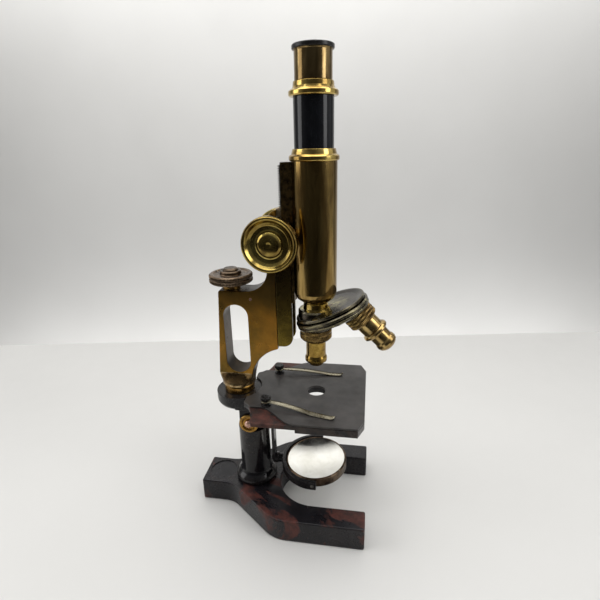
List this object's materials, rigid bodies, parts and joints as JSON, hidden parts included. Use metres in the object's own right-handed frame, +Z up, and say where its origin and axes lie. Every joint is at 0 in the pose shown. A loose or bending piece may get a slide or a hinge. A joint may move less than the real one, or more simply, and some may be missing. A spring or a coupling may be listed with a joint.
{
  "type": "compound microscope",
  "caption": "Brass compound microscope: horseshoe foot, inclining limb, square stage, rack and fine focus, draw tube, turning nosepiece and gimballed mirror.",
  "frame": {"origin": "on the flat underside of the foot, on the axis of the round pillar", "axes": "+X to the front (prong tips, objectives and front of the stage), +Z up along the upright body tube, +Y to the microscope's left; Y = 0 is the plane of symmetry"},
  "size_m": [0.158, 0.0976, 0.3482],
  "materials": {
    "japanned_iron": "worn gloss black japan over cast iron, brown where it has worn through",
    "black_lacquer": "gloss black lacquer",
    "stage_metal": "tarnished reddish-brown metal with worn paint",
    "stage_black": "satin black, rubbed",
    "aged_brass": "aged, patchy lacquered brass",
    "bright_brass": "polished yellow brass with scratches",
    "olive_brass": "dark olive tarnished brass",
    "lacquered_brass": "polished lacquered brass",
    "objective_brass": "polished, tarnished brass",
    "dark_bronze": "dark bronzed brass",
    "worn_bronze": "worn brown bronze",
    "nickel": "tarnished nickel plate",
    "tarnished_nickel": "dark tarnished nickel, bright at the edges",
    "copper_screw": "pinkish bright screw metal",
    "steel": "blued and oiled steel",
    "ebonite": "black ebonite",
    "mirror_glass": "silvered glass",
    "lens_glass": "clear glass"
  },
  "bodies": {
    "foot": {"base": "japanned_iron", "pillar": "black_lacquer"},
    "stand": {"stage_bracket": "black_lacquer", "pivot_pin": "steel", "pivot_washers": "bright_brass", "pivot_screws": "copper_screw", "stage_body": "stage_metal", "stage_plate": "stage_black", "stage_screws": "steel", "limb": "aged_brass", "limb_collar": "aged_brass", "limb_bolt": "steel", "mirror_bar": "black_lacquer", "mirror_bar_screws": "steel", "fine_bush": "aged_brass", "fine_lever_pin": "steel", "fine_spring": "steel"},
    "fork": {"mirror_fork": "black_lacquer", "mirror_trunnions": "steel"},
    "mirror": {"mirror_cell": "worn_bronze", "mirror_plane_glass": "mirror_glass", "mirror_concave_glass": "mirror_glass"},
    "clip_near": {"clip_post_near": "worn_bronze", "clip_blade_near": "nickel"},
    "clip_far": {"clip_post_far": "worn_bronze", "clip_blade_far": "nickel"},
    "knob": {"fine_knob": "dark_bronze", "fine_spindle": "steel"},
    "lever": {"fine_lever": "steel"},
    "block": {"slide_block": "olive_brass", "pinion_cover": "aged_brass", "cover_screws": "steel", "pinion_bushes": "bright_brass"},
    "pinion_shaft": {"pinion": "steel", "coarse_knob_near": "bright_brass", "coarse_knob_far": "bright_brass"},
    "tube": {"tube_slide": "olive_brass", "rack": "steel", "rack_screws": "steel", "body_tube": "lacquered_brass", "tube_collar": "lacquered_brass", "nosepiece_neck": "lacquered_brass", "nosepiece_dish": "tarnished_nickel", "nosepiece_screw": "dark_bronze", "click_spring": "steel"},
    "drawtube": {"draw_tube": "black_lacquer", "draw_ring": "lacquered_brass"},
    "eyepiece": {"eyepiece_tube": "lacquered_brass", "eyepiece_cap": "ebonite", "eye_lens": "lens_glass", "field_lens": "lens_glass", "eyepiece_stop": "ebonite"},
    "nosepiece": {"nosepiece_disc": "tarnished_nickel", "low_objective_mount": "objective_brass", "low_objective_barrel": "objective_brass", "low_objective_lens": "lens_glass", "high_objective_mount": "objective_brass", "high_objective_barrel": "objective_brass", "high_objective_lens": "lens_glass"}
  },
  "joints": [
    {"name": "inclination", "type": "hinge", "parent": "foot", "child": "stand", "pos_m": [0, 0, 0.0807], "axis": [0, -1, 0], "range_deg": [0, 90]},
    {"name": "fork_swing", "type": "hinge", "parent": "stand", "child": "fork", "pos_m": [0.019, 0, 0.0386], "axis": [1, 0, 0], "range_deg": [-60, 60]},
    {"name": "mirror_tilt", "type": "hinge", "parent": "fork", "child": "mirror", "pos_m": [0.0525, 0, 0.0386], "axis": [0, 0.9986, 0.0523], "range_deg": [-85, 85]},
    {"name": "clip_near_swing", "type": "hinge", "parent": "stand", "child": "clip_near", "pos_m": [0.018, -0.025, 0.1068], "axis": [0, 0, 1], "range_deg": [-35, 20]},
    {"name": "clip_far_swing", "type": "hinge", "parent": "stand", "child": "clip_far", "pos_m": [0.018, 0.025, 0.1068], "axis": [0, 0, 1], "range_deg": [-20, 35]},
    {"name": "fine_turn", "type": "hinge", "parent": "stand", "child": "knob", "pos_m": [-0.0103, 0, 0.199], "axis": [0, 0, 1], "range_deg": [-720, 720]},
    {"name": "lever_rock", "type": "hinge", "parent": "stand", "child": "lever", "pos_m": [0.0062, 0, 0.1851], "axis": [0, 1, 0], "range_deg": [-3.5, 3.5]},
    {"name": "fine_slide", "type": "slide", "parent": "stand", "child": "block", "axis": [0, 0, 1], "range_m": [-0.00102, 0.00102], "deforming": ["fine_spring"]},
    {"name": "coarse_slide", "type": "slide", "parent": "block", "child": "tube", "axis": [0, 0, 1], "range_m": [-0.019, 0.035]},
    {"name": "pinion_turn", "type": "hinge", "parent": "block", "child": "pinion_shaft", "pos_m": [0.025, 0, 0.2285], "axis": [0, 1, 0], "range_deg": [-510, 280]},
    {"name": "draw_slide", "type": "slide", "parent": "tube", "child": "drawtube", "axis": [0, 0, 1], "range_m": [-0.03, 0.045]},
    {"name": "eyepiece_lift", "type": "slide", "parent": "drawtube", "child": "eyepiece", "axis": [0, 0, 1], "range_m": [0, 0.03]},
    {"name": "nosepiece_turn", "type": "hinge", "parent": "tube", "child": "nosepiece", "pos_m": [0.06698, 0, 0.17174], "axis": [0.3827, 0, -0.9239], "continuous": true}
  ],
  "couplings": [
    {"joint": "pinion_turn", "follows": "coarse_slide", "rad_per_m": -250},
    {"joint": "fine_slide", "follows": "fine_turn", "m_per_rad": 0.000079577},
    {"joint": "lever_rock", "follows": "fine_turn", "ratio": -0.004627}
  ]
}
